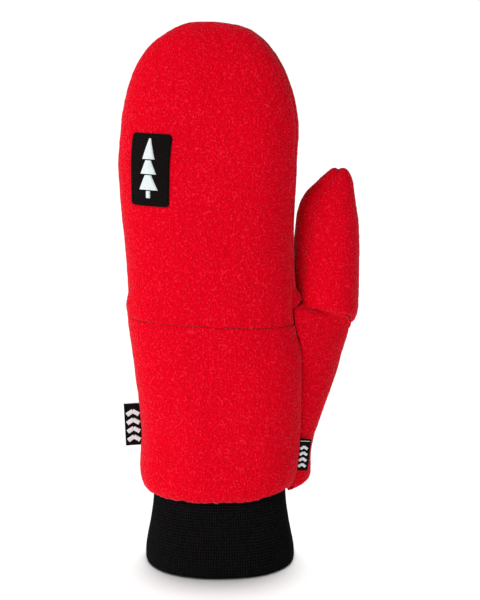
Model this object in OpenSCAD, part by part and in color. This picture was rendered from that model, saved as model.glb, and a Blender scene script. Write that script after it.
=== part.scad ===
// Convertible flip-top mitten for the left hand, standing on its cuff.
// X runs to the thumb side, Y to the palm side and Z to the fingertips, in millimetres.
// The origin is the middle of the box's base, on the surface that the cuff stands on.
// Shell panels are swept between two offset copies of one oval section that changes with height.

/* [Hand] */
// Width of the hand part at its widest
hand_w = 94; // [90:1:96]
// Front to back depth of the hand part at the hood seam
hand_d = 49; // [48:0.5:51]
// Height of the seam that joins the hood to the back of the hand
seam_z = 140.5; // [138:0.5:143]
// Height of the fleece hem above the cuff's rim
hem_z = 41.5; // [40:0.5:43]

/* [Hood] */
// Width of the hood at its widest
hood_w = 95; // [93:1:97]
// Front to back depth of the hood at its widest
hood_d = 54; // [52:1:56]
// Height of the fingertips above the cuff's rim
total_h = 298.5; // [290:0.5:306]
// Height of the domed end of the hood
dome_h = 60; // [56:1:64]
// How far the hood's palm hem hangs below the seam
palm_overlap = 12; // [8:1:14]

/* [Cuff] */
// Width of the cuff at its rim
cuff_w = 84; // [80:1:88]
// Front to back depth of the cuff at its rim
cuff_d = 64; // [62:1:66]
// Width of the cuff where the fleece covers it
neck_w = 73; // [71:1:74]
// Front to back depth of the cuff where the fleece covers it
neck_d = 48; // [46:1:49]
// Thickness of the doubled rib knit
rib_t = 2.4; // [2:0.1:3]

/* [Thumb] */
// Width of the thumb cap at its hem
cap_w = 33; // [31:1:33]
// Front to back depth of the thumb cap at its hem
cap_d = 36; // [34:1:36]
// Length of the thumb cap from its hem to its tip
cap_l = 80; // [74:1:84]
// Length of the open thumb stub under the cap
thumb_stub_l = 10.5; // [8:0.5:11]

/* [Layers] */
// Thickness of the fleece
fleece_t = 2.6; // [2:0.1:2.8]
// Thickness of the lining
lining_t = 1; // [0.8:0.1:1.2]
// Space between fleece and lining, where the magnets lie
loft_t = 2.4; // [2.2:0.1:2.6]
// Diameter of each keeper magnet
magnet_dia = 10; // [8:0.5:11]
// Thickness of each keeper magnet
magnet_t = 1.2; // [1:0.1:1.3]

/* [Patch and labels] */
// Width of the patch on the hood
patch_w = 22; // [20:0.5:23]
// Height of the patch on the hood
patch_h = 38; // [34:1:40]
// Length of the label in the little finger side seam
side_label_l = 24; // [20:1:26]
// Length of the label in the thumb side seam
thumb_label_l = 18; // [14:1:20]

/* [Hidden] */

fleece_red = [0.86, 0.02, 0.13];
lining_red = [0.62, 0.02, 0.08];
rib_black = [0.05, 0.05, 0.055];
label_black = [0.07, 0.065, 0.06];
woven_white = [0.86, 0.88, 0.95];
elastic_red = [0.55, 0.01, 0.07];
magnet_grey = [0.7, 0.7, 0.72];

oval_n = 2.3;             // exponent of the sections' oval: 2 is an ellipse
gap = 0.3;                // air between pieces that lie against each other
thumb_seam_a = -12;       // section angle of the side seam next to the thumb; the front is -90
little_seam_a = 182;      // section angle of the side seam next to the little finger
gusset_rear_a = 40;       // section angle where the thumb gusset meets the palm panel
hand_x = -15;             // centre of the hand part at the seam
hood_x = hood_w / 2 - 65; // centre of the hood, so that the box is 130 wide about the origin
dome_z = total_h - dome_h;
palm_inset = 3.9;         // how far the palm panel steps in where the hood covers it
inset_z = seam_z - palm_overlap - 9;
inner_t = fleece_t + loft_t + lining_t;

// Stations of the hand part: height, centre in X, half width, half depth
hand_table = [
    [hem_z, -12, hand_w / 2 - 6.1, hand_d / 2 + 4],
    [hem_z + 4.5, -11.8, hand_w / 2 - 2.6, hand_d / 2 + 5.2],
    [hem_z + 10.5, -11.6, hand_w / 2 - 1.2, hand_d / 2 + 5.5],
    [hem_z + 22, -10.8, hand_w / 2 - 1.6, hand_d / 2 + 5],
    [hem_z + 50, -10.4, hand_w / 2 - 0.8, hand_d / 2 + 3.5],
    [hem_z + 74, -12.2, hand_w / 2 + 0.2, hand_d / 2 + 1.5],
    [seam_z, hand_x, hand_w / 2, hand_d / 2],
    [seam_z + 12, hand_x - 0.4, hand_w / 2, hand_d / 2]];

// Stations of the hood: height, centre in X, half width, half depth
hood_table = [
    [seam_z - palm_overlap - 1, hand_x, hand_w / 2, hand_d / 2],
    [seam_z, hand_x - 0.2, hand_w / 2 - 0.2, hand_d / 2],
    [seam_z + 23, hand_x - 1, hood_w / 2 - 1.5, hood_d / 2 - 1],
    [seam_z + 53, hood_x + 0.7, hood_w / 2 - 1.4, hood_d / 2],
    [dome_z - 8, hood_x, hood_w / 2 - 0.1, hood_d / 2 - 0.5],
    [dome_z, hood_x, hood_w / 2, hood_d / 2 - 0.8]];

// Thumb stations: share of the cap's length, centre in X, half width share, half depth share
thumb_x = 65 - cap_w / 2;
thumb_y = 12.5;
cap_table = [
    [0, thumb_x - 0.2, 1, 1],
    [0.3, thumb_x - 0.3, 0.99, 0.98],
    [0.55, thumb_x - 0.6, 0.97, 0.92],
    [0.72, thumb_x, 0.86, 0.82],
    [0.85, thumb_x + 1.4, 0.71, 0.68],
    [0.94, thumb_x + 3, 0.52, 0.48],
    [0.985, thumb_x + 4, 0.3, 0.28],
    [1, thumb_x + 4.4, 0.04, 0.04]];
thumb_z = seam_z + 1;

// Gusset stations: height, rightmost point in X, bulge in Y beyond its two seams
gusset_table = [
    [hem_z, 27, 0],
    [hem_z + 4.5, 35, 0],
    [hem_z + 10.5, 38.5, 0],
    [hem_z + 22, 39.5, 2],
    [hem_z + 50, 47.5, 10],
    [hem_z + 74, 54.5, 22],
    [seam_z, 61.2, 36],
    [seam_z + 6, 62, 37]];

// Finger stubs: name order index, middle, ring, little
stub_x = [27.8, 9.3, -9.3, -27.8];
stub_l = [15, 21, 20, 12.5];
stub_half_d = [10.4, 11.8, 11.8, 10.4];
stub_half_w = 9.1;
stub_t = 1.4;
stub_y = -1.6;

// ---- shared functions ----

function smooth(t) = let (c = max(0, min(1, t))) c * c * (3 - 2 * c);
function signed_pow(v, e) = sign(v) * pow(abs(v), e);
function oval(a, w, d) = [w * signed_pow(cos(a), 2 / oval_n), d * signed_pow(sin(a), 2 / oval_n)];
function span(a, b, n) = [for (i = [0:n]) a + (b - a) * i / n];

// Column k of a station table at height z, on a smooth curve through the stations
function segment(table, z, i = 0) = i >= len(table) - 2 || z < table[i + 1][0] ? i : segment(table, z, i + 1);
function slope(table, k, i) =
    let (lo = max(0, i - 1), hi = min(len(table) - 1, i + 1))
    (table[hi][k] - table[lo][k]) / (table[hi][0] - table[lo][0]);
function profile(table, k, z) =
    let (i = segment(table, z),
         run = table[i + 1][0] - table[i][0],
         t = max(0, min(1, (z - table[i][0]) / run)),
         rise = 3 * t * t - 2 * t * t * t)
    table[i][k] + (table[i + 1][k] - table[i][k]) * rise
    + run * (slope(table, k, i) * (t * t * t - 2 * t * t + t) + slope(table, k, i + 1) * (t * t * t - t * t));

// A point of the hand part's surface, moved out by off
function hand_pt(a, z, off) =
    let (p = oval(a, profile(hand_table, 2, z) + off, profile(hand_table, 3, z) + off))
    [profile(hand_table, 1, z) + p[0], p[1], z];

// The palm panel steps in below the hood's hem
function palm_step(z) = -palm_inset * smooth((z - inset_z) / 6);

// A point of the hood: t below 1 is height along the straight part, 1 to 2 is the dome
function hood_pt(a, t, off) = t <= 1
    ? let (z = seam_z + (dome_z - seam_z) * t,
           p = oval(a, profile(hood_table, 2, z) + off, profile(hood_table, 3, z) + off))
      [profile(hood_table, 1, z) + p[0], p[1], z]
    : let (s = (t - 1) * 90,
           in = pow(cos(s), 2 / 2.2),
           p = oval(a, (hood_w / 2 + off) * in, (hood_d / 2 - 0.8 + off) * in))
      [hood_x + p[0], p[1], dome_z + (dome_h + off) * pow(sin(s), 2 / 2.2)];
function hood_t(z) = (z - seam_z) / (dome_z - seam_z);

// A point of the thumb cap: t is the share of its length
function cap_pt(a, t, off) =
    let (w = max(0.4, (cap_w / 2 + off) * profile(cap_table, 2, t)),
         d = max(0.4, (cap_d / 2 + off) * profile(cap_table, 3, t)),
         p = oval(a, w, d))
    [profile(cap_table, 1, t) + p[0], thumb_y + p[1], thumb_z + (cap_l + off) * t];

// A point of the thumb gusset: s runs from the front seam to the rear seam
function bezier(p, s) =
    pow(1 - s, 3) * p[0] + 3 * s * pow(1 - s, 2) * p[1] + 3 * s * s * (1 - s) * p[2] + s * s * s * p[3];
function gusset_pt(s, z, off) =
    let (front = hand_pt(thumb_seam_a, z, off),
         rear = hand_pt(gusset_rear_a, z, off + palm_step(z)),
         reach = (profile(gusset_table, 1, z) + off - (front[0] + rear[0]) / 2) / 0.75,
         bulge = profile(gusset_table, 2, z),
         mean_x = (front[0] + rear[0]) / 2)
    bezier([front,
            [mean_x + reach, front[1] + bulge * 0.1, z],
            [mean_x + reach, rear[1] + bulge + off * 0.5, z],
            rear], s);

// ---- shared modules ----

// A closed wall between two grids of points. A wrapped wall joins its last column to its first.
module wall(outer, inner, wrapped = false) {
    rows = len(outer);
    cols = len(outer[0]);
    half = rows * cols;
    last = wrapped ? cols - 1 : cols - 2;
    function at(i, j) = i * cols + j % cols;
    points = [for (r = outer) each r, for (r = inner) each r];
    skin = [for (i = [0:rows - 2], j = [0:last]) each
        [[at(i, j), at(i + 1, j + 1), at(i, j + 1)], [at(i, j), at(i + 1, j), at(i + 1, j + 1)]]];
    back = [for (f = skin) [f[0] + half, f[2] + half, f[1] + half]];
    ends = [for (j = [0:last]) each [
        [at(0, j), at(0, j + 1), at(0, j) + half],
        [at(0, j + 1), at(0, j + 1) + half, at(0, j) + half],
        [at(rows - 1, j), at(rows - 1, j) + half, at(rows - 1, j + 1)],
        [at(rows - 1, j + 1), at(rows - 1, j) + half, at(rows - 1, j + 1) + half]]];
    sides = wrapped ? [] : [for (i = [0:rows - 2]) each [
        [at(i, 0), at(i, 0) + half, at(i + 1, 0)],
        [at(i + 1, 0), at(i, 0) + half, at(i + 1, 0) + half],
        [at(i, cols - 1), at(i + 1, cols - 1), at(i, cols - 1) + half],
        [at(i + 1, cols - 1), at(i + 1, cols - 1) + half, at(i, cols - 1) + half]]];
    polyhedron(points, concat(skin, back, ends, sides));
}

// A thin band that follows a surface, between two angles and two rows
module hand_wall(a0, a1, z_rows, off0, off1, cols) {
    a_cols = span(a0, a1, cols);
    wall([for (z = z_rows) [for (a = a_cols) hand_pt(a, z, off0)]],
         [for (z = z_rows) [for (a = a_cols) hand_pt(a, z, off1)]]);
}

// An upright flat oval ring, half sizes w and d, wall t
module oval_tube(w, d, t, h) {
    linear_extrude(h)
        difference() {
            scale([w, d]) circle(r = 1, $fn = 64);
            scale([w - t, d - t]) circle(r = 1, $fn = 64);
        }
}

// A woven label folded in half, its fold outwards along X, its ends in the seam
module folded_label(length, reach) {
    layer = 0.5;
    linear_extrude(length)
        difference() {
            union() {
                square([reach - 1, 2 * layer + 0.6]);
                translate([reach - 1, layer + 0.3]) circle(d = 2 * layer + 0.6, $fn = 32);
            }
            translate([-1, layer]) square([reach, 0.6]);
        }
}

// ---- cuff ----

function cuff_half(z, rim, neck) = neck + (rim - neck) * pow(1 - z / (hem_z + 5), 1.6);
function cuff_pt(a, z, off) =
    let (p = oval(a, cuff_half(z, cuff_w / 2, neck_w / 2) + off, cuff_half(z, cuff_d / 2, neck_d / 2) + off))
    [-11.6 + p[0], p[1], z];
module cuff_wall(z_rows, off0, off1, cols) {
    a_cols = [for (j = [0:cols - 1]) j * 360 / cols];
    wall([for (z = z_rows) [for (a = a_cols) cuff_pt(a, z, off0)]],
         [for (z = z_rows) [for (a = a_cols) cuff_pt(a, z, off1)]], wrapped = true);
}
module rib_cuff() {
    color(rib_black) cuff_wall(span(0, hem_z + 5, 8), 0, -rib_t, 40);
}
module cuff_rim_elastic() {
    color(rib_black) cuff_wall([1, 5], -rib_t - gap, -rib_t - gap - 0.8, 36);
}
module wrist_elastic() {
    color(elastic_red) cuff_wall([hem_z + 1, hem_z + 4.5], 1.4, 0.4, 36);
}

// ---- hand panels ----

hand_rows = [hem_z, hem_z + 1.5, hem_z + 4.5, hem_z + 10.5, hem_z + 22, hem_z + 36, hem_z + 50,
             hem_z + 64, hem_z + 78, hem_z + 90, seam_z - 0.2];
module back_panel() {
    color(fleece_red)
        hand_wall(little_seam_a + gap, 360 + thumb_seam_a - gap, hand_rows, 0, -fleece_t, 16);
}
module palm_panel() {
    rows = [hem_z, hem_z + 1.5, hem_z + 4.5, hem_z + 10.5, hem_z + 22, hem_z + 40, hem_z + 58,
            inset_z, inset_z + 2, inset_z + 4, inset_z + 6, seam_z + 3];
    a_cols = span(gusset_rear_a + gap, little_seam_a - gap, 22);
    color(fleece_red)
        wall([for (z = rows) [for (a = a_cols) hand_pt(a, z, palm_step(z))]],
             [for (z = rows) [for (a = a_cols) hand_pt(a, z, palm_step(z) - fleece_t)]]);
}
module thumb_gusset() {
    rows = [hem_z, hem_z + 1.5, hem_z + 4.5, hem_z + 10.5, hem_z + 22, hem_z + 36, hem_z + 50,
            hem_z + 64, hem_z + 76, hem_z + 88, seam_z + 0.6];
    s_cols = span(0.012, 0.988, 18);
    color(fleece_red)
        wall([for (z = rows) [for (s = s_cols) gusset_pt(s, z, 0)]],
             [for (z = rows) [for (s = s_cols) gusset_pt(s, z, -fleece_t)]]);
}
module hand_lining() {
    rows = span(hem_z + 7, inset_z - 2, 6);
    color(lining_red)
        hand_wall(gusset_rear_a + 6, 340, rows, -fleece_t - loft_t, -inner_t, 24);
}
module knuckle_yoke() {
    color(lining_red)
        translate([0, 0, seam_z - 3])
        linear_extrude(2)
        difference() {
            translate([hand_x, stub_y]) scale([hand_w / 2 - 6.9, hand_d / 2 - 5.3]) circle(r = 1, $fn = 96);
            for (i = [0:3])
                translate([hand_x + stub_x[i], stub_y])
                    scale([stub_half_w - stub_t, stub_half_d[i] - stub_t]) circle(r = 1, $fn = 64);
        }
}
module finger_stub(i) {
    color(fleece_red)
        translate([hand_x + stub_x[i], stub_y, seam_z - 1 + gap])
        oval_tube(stub_half_w, stub_half_d[i], stub_t, stub_l[i] - 1);
}
module finger_stub_bindings() {
    color(elastic_red)
        for (i = [0:3])
            translate([hand_x + stub_x[i], stub_y, seam_z - 1 + 2 * gap + stub_l[i] - 1])
                oval_tube(stub_half_w, stub_half_d[i], stub_t, 1.6);
}
module palm_opening_binding() {
    rows = [seam_z + 3 + 0.1, seam_z + 4.6];
    a_cols = span(gusset_rear_a + 4, little_seam_a - 3, 20);
    color(elastic_red)
        wall([for (z = rows) [for (a = a_cols) hand_pt(a, z, -palm_inset)]],
             [for (z = rows) [for (a = a_cols) hand_pt(a, z, -palm_inset - fleece_t)]]);
}

// ---- thumb opening ----

thumb_stub_w = cap_w / 2 - fleece_t - 1.5;
thumb_stub_d = cap_d / 2 - fleece_t - 3.9;
module thumb_yoke() {
    edge = [for (s = span(0.03, 0.97, 24)) let (p = gusset_pt(s, seam_z, -fleece_t - 0.8)) [p[0], p[1]]];
    color(lining_red)
        translate([0, 0, seam_z - 1.4])
        linear_extrude(2)
        difference() {
            polygon(edge);
            translate([hand_x, stub_y]) scale([hand_w / 2 - 6.2, hand_d / 2 - 4.6]) circle(r = 1, $fn = 96);
            translate([thumb_x - 0.2, thumb_y])
                scale([thumb_stub_w - stub_t, thumb_stub_d - stub_t]) circle(r = 1, $fn = 64);
        }
}
module thumb_stub() {
    color(fleece_red)
        translate([thumb_x - 0.2, thumb_y, seam_z + 0.6 + gap])
        oval_tube(thumb_stub_w, thumb_stub_d, stub_t, thumb_stub_l);
}
module thumb_stub_binding() {
    color(elastic_red)
        translate([thumb_x - 0.2, thumb_y, seam_z + 0.6 + 2 * gap + thumb_stub_l])
        oval_tube(thumb_stub_w, thumb_stub_d, stub_t, 1.2);
}

// ---- seams, labels and magnets of the hand ----

// A thread that runs up inside a seam, square in section
module thread_up(points_out, points_in) {
    wall(points_out, points_in);
}
module seam_threads() {
    rows = span(hem_z + 6, inset_z - 2, 8);
    color(elastic_red)
        for (a = [little_seam_a - 1.2, 360 + thumb_seam_a - 1.6])
            wall([for (z = rows) [for (b = [a, a + 0.9]) hand_pt(b, z, -fleece_t - gap)]],
                 [for (z = rows) [for (b = [a, a + 0.9]) hand_pt(b, z, -fleece_t - gap - 0.7)]]);
}

side_label_z = hem_z + 26;
side_label_reach = 9.5;
module side_label() {
    root = hand_pt(little_seam_a - 2, side_label_z + side_label_l / 2, 0);
    color(label_black)
        translate([root[0] - 0.8, root[1] + 1.6, side_label_z])
        rotate([0, 0, 180])
        folded_label(side_label_l, side_label_reach - 1.2);
}
module side_label_weave() {
    root = hand_pt(little_seam_a - 2, side_label_z + side_label_l / 2, 0);
    color(woven_white)
        for (i = [0:3])
            translate([root[0] - 4.6, root[1] + 0.0 - 0.1, side_label_z + side_label_l * (i + 0.6) / 4.2])
                rotate([90, 0, 0])
                linear_extrude(0.3)
                polygon([[-2.4, -1.6], [0, 0.4], [2.4, -1.6], [2.4, 0.4], [0, 2.4], [-2.4, 0.4]]);
}

thumb_label_z = hem_z + 12.5;
thumb_label_turn = 38;
module thumb_side_label_frame() {
    root = hand_pt(thumb_seam_a, thumb_label_z + thumb_label_l / 2, 0);
    translate([root[0] + 1.0, root[1] - 3.2, thumb_label_z]) rotate([0, 0, thumb_label_turn]) children();
}
module thumb_side_label() {
    color(label_black) thumb_side_label_frame() folded_label(thumb_label_l, 8);
}
module thumb_side_label_weave() {
    color(woven_white)
        thumb_side_label_frame()
        for (i = [0:3])
            translate([3.6, -0.1, thumb_label_l * (i + 0.65) / 4.3])
                rotate([90, 0, 0])
                linear_extrude(0.3)
                polygon([[-1.9, -1.2], [0, 0.3], [1.9, -1.2], [1.9, 0.3], [0, 1.8], [-1.9, 0.3]]);
}

// A disc held against the inside of a front panel at point p, whose outward direction turns by yaw
module disc_at(p, yaw, lean, depth, dia, t) {
    translate(p) rotate([0, 0, yaw]) rotate([90 + lean, 0, 0])
        translate([0, 0, -depth - t]) cylinder(d = dia, h = t, $fn = 64);
}
magnet_a = 180 + 60;
magnet_hand_z = seam_z - 74;
magnet_hood_z = seam_z + 77;
magnet_yaw = -17;
magnet_depth = fleece_t + 0.85;
module hand_magnet() {
    color(magnet_grey)
        disc_at(hand_pt(magnet_a, magnet_hand_z, 0), magnet_yaw, -3, magnet_depth, magnet_dia, magnet_t);
}
module magnet_pocket(p, lean) {
    color(lining_red)
        difference() {
            disc_at(p, magnet_yaw, lean, magnet_depth, magnet_dia + 1.8, magnet_t);
            disc_at(p, magnet_yaw, lean, magnet_depth - 1, magnet_dia + 0.6, magnet_t + 2);
        }
}
module hand_magnet_pocket() {
    magnet_pocket(hand_pt(magnet_a, magnet_hand_z, 0), -3);
}
module hood_magnet() {
    color(magnet_grey)
        disc_at(hood_pt(magnet_a, hood_t(magnet_hood_z), 0), magnet_yaw, 0, magnet_depth, magnet_dia, magnet_t);
}
module hood_magnet_pocket() {
    magnet_pocket(hood_pt(magnet_a, hood_t(magnet_hood_z), 0), 0);
}

// ---- hood ----

hood_rows = [0.002, 0.12, 0.26, 0.42, 0.58, 0.74, 0.88, 1, 1.14, 1.28, 1.42, 1.56, 1.7, 1.82, 1.92, 1.985];
module hood_back_panel() {
    a_cols = span(little_seam_a + gap, 360 + thumb_seam_a - gap, 16);
    color(fleece_red)
        wall([for (t = hood_rows) [for (a = a_cols) hood_pt(a, t, 0)]],
             [for (t = hood_rows) [for (a = a_cols) hood_pt(a, t, -fleece_t)]]);
}
// The hem hangs below the seam at the palm. It rises over the thumb's base and at the little finger's seam.
hem_start_a = gusset_rear_a + 5;
hem_lift = 1.3;
function hem_drop(a) =
    (palm_overlap + hem_lift) * smooth((a - hem_start_a) / 14) * smooth((little_seam_a - gap - a) / 14) - hem_lift;
function hood_palm_pt(a, k, off) = let (t = hood_rows[k])
    k > 1 ? hood_pt(a, t, off) : hood_pt(a, (k == 0 ? hood_t(seam_z - hem_drop(a)) : 0.1), off);
hood_palm_cols = span(thumb_seam_a + gap, little_seam_a - gap, 24);
module hood_palm_panel() {
    rows = [for (k = [0:len(hood_rows) - 1]) k];
    color(fleece_red)
        wall([for (k = rows) [for (a = hood_palm_cols) hood_palm_pt(a, k, 0)]],
             [for (k = rows) [for (a = hood_palm_cols) hood_palm_pt(a, k, -fleece_t)]]);
}
module hood_lining() {
    a_cols = [for (j = [0:35]) j * 10];
    rows = [0.12, 0.4, 0.7, 1, 1.25, 1.5, 1.7, 1.86, 1.97];
    color(lining_red)
        wall([for (t = rows) [for (a = a_cols) hood_pt(a, t, -fleece_t - loft_t)]],
             [for (t = rows) [for (a = a_cols) hood_pt(a, t, -inner_t)]], wrapped = true);
}
// The elastic's columns are the panel's own, so that the gap between them stays even
module hood_hem_elastic() {
    a_cols = [for (a = hood_palm_cols) if (a > hem_start_a + 4 && a < little_seam_a - 4) a];
    function hem_pt(a, up, off) = hood_pt(a, hood_t(seam_z - hem_drop(a) - gap - 1.2 + up), off);
    color(elastic_red)
        wall([for (up = [0, 1.2]) [for (a = a_cols) hem_pt(a, up, 0)]],
             [for (up = [0, 1.2]) [for (a = a_cols) hem_pt(a, up, -fleece_t)]]);
}
module hood_seam_threads() {
    rows = [0.1, 0.4, 0.7, 1, 1.3, 1.6, 1.8, 1.9];
    color(elastic_red)
        for (a = [little_seam_a - 0.4, 360 + thumb_seam_a - 0.4])
            wall([for (t = rows) [for (b = [a, a + 0.9]) hood_pt(b, t, -fleece_t - gap)]],
                 [for (t = rows) [for (b = [a, a + 0.9]) hood_pt(b, t, -fleece_t - gap - 0.7)]]);
}

// ---- patch ----

patch_z = seam_z + 83;
patch_mid_a = 180 + 54;
patch_lean = 2;        // degrees that the patch leans clockwise
patch_r = 2;           // corner radius
patch_t = 1.1;
deg_per_mm = 1.49;     // section angle per millimetre across the patch

// A point at u across and v up from the patch's middle, off millimetres above the fleece
function patch_pt(u, v, off) =
    let (x = u * cos(patch_lean) + v * sin(patch_lean), z = v * cos(patch_lean) - u * sin(patch_lean))
    hood_pt(patch_mid_a + x * deg_per_mm, hood_t(patch_z + z), off);
// Half width of a rounded rectangle at height v
function rounded_half(v, w, h, r) =
    let (over = max(0, abs(v) - (h / 2 - r))) w / 2 - r + sqrt(max(0, r * r - over * over));
module patch_sheet(w, h, r, off0, off1) {
    v_rows = concat([-h / 2, -h / 2 + 0.4, -h / 2 + 1.2, -h / 2 + r], span(-h / 4, h / 4, 4),
                    [h / 2 - r, h / 2 - 1.2, h / 2 - 0.4, h / 2]);
    u_cols = span(-1, 1, 8);
    wall([for (v = v_rows) [for (u = u_cols) patch_pt(u * rounded_half(v, w, h, r), v, off1)]],
         [for (v = v_rows) [for (u = u_cols) patch_pt(u * rounded_half(v, w, h, r), v, off0)]]);
}
module hood_patch() {
    color(label_black) patch_sheet(patch_w, patch_h, patch_r, 0.1, patch_t);
}
// Stitches round the patch, each a short bar lying on it
module patch_stitching() {
    inset = 1.5;
    pitch = 1.9;
    w = patch_w - 2 * inset;
    h = patch_h - 2 * inset;
    module stitch(u, v, half_u, half_v) {
        wall([for (dv = [-half_v, half_v]) [for (du = [-half_u, half_u]) patch_pt(u + du, v + dv, patch_t + 0.3)]],
             [for (dv = [-half_v, half_v]) [for (du = [-half_u, half_u]) patch_pt(u + du, v + dv, patch_t + 0.05)]]);
    }
    across = floor((w - 4) / pitch);
    up = floor((h - 4) / pitch);
    color(label_black) {
        for (side = [-1, 1], i = [0:across - 1])
            stitch((i - (across - 1) / 2) * pitch, side * h / 2, 0.6, 0.22);
        for (side = [-1, 1], i = [0:up - 1])
            stitch(side * w / 2, (i - (up - 1) / 2) * pitch, 0.22, 0.6);
    }
}
// A plain fir tree: three tiers and a trunk, each a strip that follows the patch
module patch_emblem() {
    mid_u = 0.6;
    tiers = [[4, 14.5, 3.2], [-3, 7.5, 4.3], [-10.5, 1, 5.2]];
    module tier(v0, v1, half) {
        v_rows = span(v0, v1, 5);
        function reach(v) = 0.25 + (half - 0.25) * (v1 - v) / (v1 - v0);
        wall([for (v = v_rows) [for (s = [-1, 0, 1]) patch_pt(mid_u + s * reach(v), v, patch_t + 0.7)]],
             [for (v = v_rows) [for (s = [-1, 0, 1]) patch_pt(mid_u + s * reach(v), v, patch_t + 0.05)]]);
    }
    color(woven_white) {
        tier(tiers[0][0], tiers[0][1], tiers[0][2]);
        tier(tiers[1][0], tiers[0][0] - 0.3, tiers[1][2]);
        tier(tiers[2][0], tiers[1][0] - 0.3, tiers[2][2]);
        wall([for (v = [-14.5, -10.8]) [for (u = [-1, 1]) patch_pt(mid_u + u, v, patch_t + 0.7)]],
             [for (v = [-14.5, -10.8]) [for (u = [-1, 1]) patch_pt(mid_u + u, v, patch_t + 0.05)]]);
    }
}

// ---- thumb cap ----

cap_rows = [0, 0.12, 0.26, 0.4, 0.54, 0.66, 0.76, 0.85, 0.92, 0.96, 0.985, 1];
cap_seam_a = -100;     // the seam that runs up the front of the cap
module cap_panel(a0, a1, cols) {
    a_cols = span(a0, a1, cols);
    color(fleece_red)
        wall([for (t = cap_rows) [for (a = a_cols) cap_pt(a, t, 0)]],
             [for (t = cap_rows) [for (a = a_cols) cap_pt(a, t, -fleece_t)]]);
}
module thumb_cap_outer_panel() {
    cap_panel(cap_seam_a + gap, 80 - gap, 16);
}
module thumb_cap_inner_panel() {
    cap_panel(80 + gap, 360 + cap_seam_a - gap, 16);
}
module thumb_cap_lining() {
    a_cols = [for (j = [0:23]) j * 15];
    rows = [0.2, 0.35, 0.5, 0.66, 0.78, 0.88, 0.94];
    color(lining_red)
        wall([for (t = rows) [for (a = a_cols) cap_pt(a, t, -fleece_t - gap)]],
             [for (t = rows) [for (a = a_cols) cap_pt(a, t, -fleece_t - gap - lining_t)]], wrapped = true);
}
module thumb_cap_hem_elastic() {
    a_cols = span(-250, 70, 28);
    color(elastic_red)
        wall([for (t = [0.01, 0.03]) [for (a = a_cols) cap_pt(a, t, -fleece_t - 0.1)]],
             [for (t = [0.01, 0.03]) [for (a = a_cols) cap_pt(a, t, -fleece_t - 0.6)]]);
}
module thumb_cap_seam_threads() {
    rows = [0.03, 0.16];
    color(elastic_red)
        for (a = [cap_seam_a, 80])
            wall([for (t = rows) [for (b = [a - 1, a + 1]) cap_pt(b, t + 0.015, -fleece_t - 0.1)]],
                 [for (t = rows) [for (b = [a - 1, a + 1]) cap_pt(b, t + 0.015, -fleece_t - 0.6)]]);
}

rib_cuff();
cuff_rim_elastic();
wrist_elastic();
back_panel();
palm_panel();
thumb_gusset();
hand_lining();
knuckle_yoke();
thumb_yoke();
finger_stub(0);  // finger_stub_index
finger_stub(1);  // finger_stub_middle
finger_stub(2);  // finger_stub_ring
finger_stub(3);  // finger_stub_little
finger_stub_bindings();
thumb_stub();
thumb_stub_binding();
palm_opening_binding();
hand_magnet();
hand_magnet_pocket();
side_label();
side_label_weave();
thumb_side_label();
thumb_side_label_weave();
seam_threads();
hood_back_panel();
hood_palm_panel();
hood_lining();
hood_hem_elastic();
hood_magnet();
hood_magnet_pocket();
hood_patch();
patch_emblem();
patch_stitching();
hood_seam_threads();
thumb_cap_outer_panel();
thumb_cap_inner_panel();
thumb_cap_lining();
thumb_cap_hem_elastic();
thumb_cap_seam_threads();
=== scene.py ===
import math

import bmesh
import bpy
import numpy as np
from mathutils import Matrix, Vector
from mathutils.geometry import delaunay_2d_cdt


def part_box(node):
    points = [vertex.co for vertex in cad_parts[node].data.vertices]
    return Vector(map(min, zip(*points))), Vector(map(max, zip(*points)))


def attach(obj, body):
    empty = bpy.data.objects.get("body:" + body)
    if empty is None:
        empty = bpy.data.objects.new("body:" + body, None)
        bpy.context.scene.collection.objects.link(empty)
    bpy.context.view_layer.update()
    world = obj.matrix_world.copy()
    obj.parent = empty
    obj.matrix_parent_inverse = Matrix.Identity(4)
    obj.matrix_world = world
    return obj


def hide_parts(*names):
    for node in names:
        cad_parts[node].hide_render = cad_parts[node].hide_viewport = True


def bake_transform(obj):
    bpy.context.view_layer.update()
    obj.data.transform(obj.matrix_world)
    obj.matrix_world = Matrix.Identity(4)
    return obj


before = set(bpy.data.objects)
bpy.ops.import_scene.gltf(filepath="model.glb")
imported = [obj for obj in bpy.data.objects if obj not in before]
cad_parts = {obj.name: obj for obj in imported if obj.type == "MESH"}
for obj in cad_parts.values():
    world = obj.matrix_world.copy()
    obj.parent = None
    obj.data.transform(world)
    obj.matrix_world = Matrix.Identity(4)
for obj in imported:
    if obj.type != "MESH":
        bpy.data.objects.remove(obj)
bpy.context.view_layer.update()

MM = 0.001                # the functions below work in mm, and joined() turns them into metres


# ---- numbers and noise

def smooth(t):
    """An even step from 0 to 1."""
    t = np.clip(t, 0.0, 1.0)
    return t * t * (3 - 2 * t)


def curve(table, at):
    """A smooth curve through listed stations. A table's first column is the key, read at `at`, and the others
    are the values there."""
    keys, values = table[:, 0], table[:, 1:]
    at = np.clip(at, keys[0], keys[-1])
    slopes = np.zeros_like(values)
    rise = np.diff(values, axis=0) / np.diff(keys)[:, None]
    slopes[1:-1] = (values[2:] - values[:-2]) / (keys[2:] - keys[:-2])[:, None]
    flat = rise[1:] * rise[:-1] <= 0
    slopes[1:-1][flat] *= 0.35
    slopes[0], slopes[-1] = rise[0], rise[-1]
    i = np.clip(np.searchsorted(keys, at, side="right") - 1, 0, len(keys) - 2)
    run = keys[i + 1] - keys[i]
    t = ((at - keys[i]) / run)[..., None]
    rise_a, rise_b = slopes[i] * run[..., None], slopes[i + 1] * run[..., None]
    return ((2 * t**3 - 3 * t**2 + 1) * values[i] + (t**3 - 2 * t**2 + t) * rise_a
            + (3 * t**2 - 2 * t**3) * values[i + 1] + (t**3 - t**2) * rise_b)


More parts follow.
